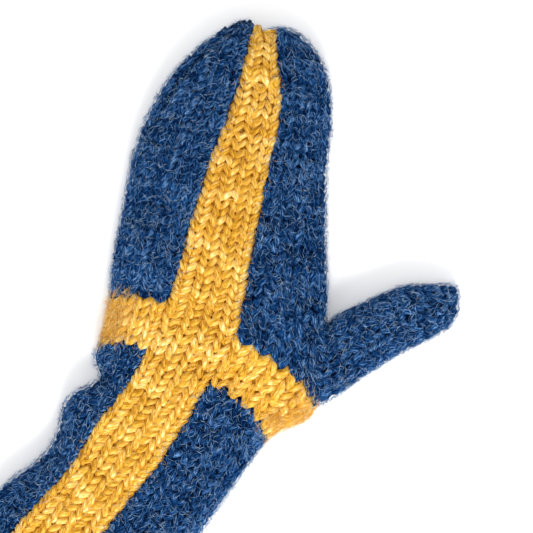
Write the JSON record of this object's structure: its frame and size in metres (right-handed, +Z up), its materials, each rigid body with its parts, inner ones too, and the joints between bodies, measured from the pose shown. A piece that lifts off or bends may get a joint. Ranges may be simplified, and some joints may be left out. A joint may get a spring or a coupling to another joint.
{
  "type": "knitted mitten",
  "caption": "Thick brushed-wool knitted mitten for the left hand, blue with a yellow cross whose upright runs from fingertips to cuff and whose arm rings the hand, lying palm down.",
  "frame": {"origin": "under the centre of the knitted cross, on the flat underside of the palm", "axes": "+Z up from the palm side to the back of the hand; +Y up the hand to the fingertips; +X to the thumb. The cuff leans 29 degrees to the left of -Y."},
  "size_m": [0.2181, 0.3114, 0.0261],
  "materials": {
    "blue_wool": "fulled and brushed heather wool, knitted in stockinette",
    "yellow_wool": "plump plied wool, knitted in stockinette, lightly brushed"
  },
  "bodies": {
    "hand": {"arm_back": "yellow_wool", "arm_palm": "yellow_wool", "hand_field_left": "blue_wool", "hand_upright": "yellow_wool", "thumb_gusset": "blue_wool", "hand_field_right": "blue_wool", "hand_palm": "blue_wool"},
    "fingers": {"finger_field_left": "blue_wool", "finger_upright": "yellow_wool", "finger_field_right": "blue_wool", "finger_palm": "blue_wool", "tip_closure": "blue_wool"},
    "cuff": {"cuff_field_left": "blue_wool", "cuff_upright": "yellow_wool", "cuff_field_right": "blue_wool", "cuff_palm": "blue_wool", "cast_on_edge": "blue_wool"},
    "thumb": {"thumb_back": "blue_wool", "thumb_palm": "blue_wool", "thumb_tip_closure": "blue_wool"}
  },
  "joints": [
    {"name": "wrist_bend", "type": "hinge", "parent": "hand", "child": "cuff", "pos_m": [0.0415, -0.0377, 0.012], "axis": [0, 0, 1], "range_deg": [0, 30]},
    {"name": "finger_fold", "type": "hinge", "parent": "hand", "child": "fingers", "pos_m": [0, 0.056, 0.0262], "axis": [1, 0, 0], "range_deg": [0, 75]},
    {"name": "thumb_swing", "type": "hinge", "parent": "hand", "child": "thumb", "pos_m": [0.0568, 0.0236, 0.011], "axis": [0, 0, 1], "range_deg": [0, 50]}
  ]
}
